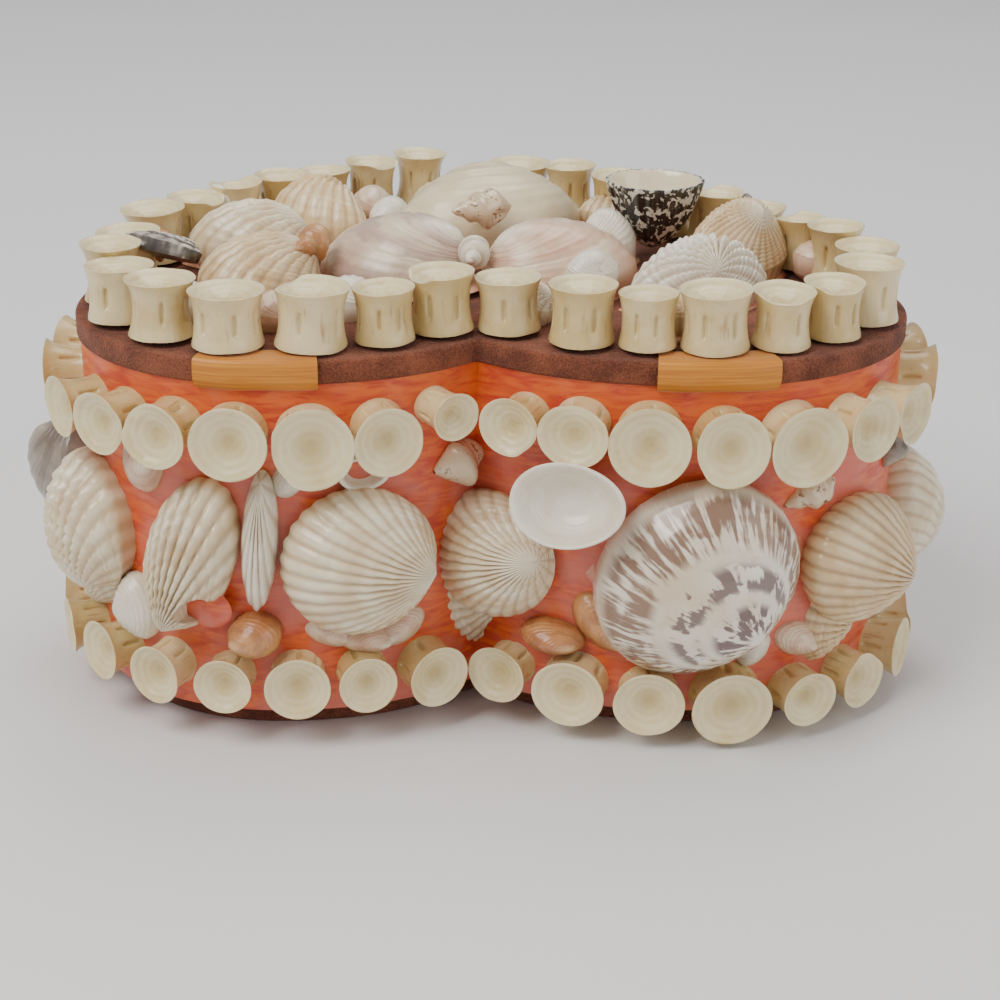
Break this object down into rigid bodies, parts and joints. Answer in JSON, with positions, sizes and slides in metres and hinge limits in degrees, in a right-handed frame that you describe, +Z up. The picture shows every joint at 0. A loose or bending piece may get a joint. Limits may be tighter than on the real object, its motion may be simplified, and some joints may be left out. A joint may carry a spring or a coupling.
{
  "type": "trinket box",
  "caption": "Heart-shaped keepsake box dressed with fish vertebrae and sea shells, with a lid that opens on ribbon hinges.",
  "frame": {"origin": "centre of the underside's flat board, on the surface the box stands on", "axes": "+X across the heart, along the hinge line; -Y towards the lobes and the hinge; +Y towards the point; +Z up"},
  "size_m": [0.1461, 0.107, 0.0722],
  "materials": {
    "felt": "reddish-brown flocked paper over board",
    "card": "orange-red paper over card",
    "ribbon": "mustard satin",
    "bone": "cream bone under clear varnish",
    "shell": "cream shell under clear varnish",
    "blush_shell": "pinkish-beige shell under clear varnish",
    "patterned_shell": "cream shell with dark markings, glossy",
    "dark_shell": "dark grey-brown shell, glossy"
  },
  "bodies": {
    "box": {"base_board": "felt", "box_wall": "card", "ribbon_left": "ribbon", "ribbon_right": "ribbon", "upper_drum_notch": "bone", "upper_row_left": "bone", "upper_row_right": "bone", "upper_row_left_back": "bone", "upper_row_right_back": "bone", "lower_row_left": "bone", "lower_row_right": "bone", "lower_row_left_back": "bone", "lower_row_right_back": "bone", "clam_patterned": "patterned_shell", "cockle_centre_left": "shell", "cockle_notch": "shell", "cockle_broken": "shell", "cockle_fan": "shell", "cockle_knobbly": "shell", "cockle_oblique": "shell", "clam_grey": "dark_shell", "shell_ribbed_white": "shell", "clam_open": "shell", "clam_blush_upper": "blush_shell", "clam_blush_lower": "blush_shell", "snail_bean": "blush_shell", "shell_amber": "blush_shell", "shell_ochre": "dark_shell", "shell_blush_low": "blush_shell", "cockle_left_back": "shell", "clam_left_back": "blush_shell", "cockle_left_point": "shell", "cockle_right_back": "shell", "clam_right_back": "blush_shell", "cockle_right_point": "shell"},
    "lid": {"lid_board": "felt", "lid_row_notch": "bone", "lid_row_right_front": "bone", "lid_row_right": "bone", "lid_row_left": "bone", "lid_row_left_front": "bone", "lid_drum_lobe": "bone", "lid_clam_back": "shell", "lid_clam_left": "blush_shell", "lid_clam_right": "blush_shell", "lid_cockle_front": "shell", "lid_cockle_middle": "shell", "lid_cockle_back": "shell", "lid_nodular": "shell", "lid_cockle_scaly": "shell", "lid_limpet": "patterned_shell", "lid_shell_glossy": "shell", "lid_snail_spotted": "patterned_shell", "lid_shard": "dark_shell"}
  },
  "joints": [
    {"name": "lid_hinge", "type": "hinge", "parent": "box", "child": "lid", "pos_m": [0, -0.046, 0.056], "axis": [1, 0, 0], "range_deg": [0, 95], "deforming": ["ribbon_left", "ribbon_right"]}
  ]
}
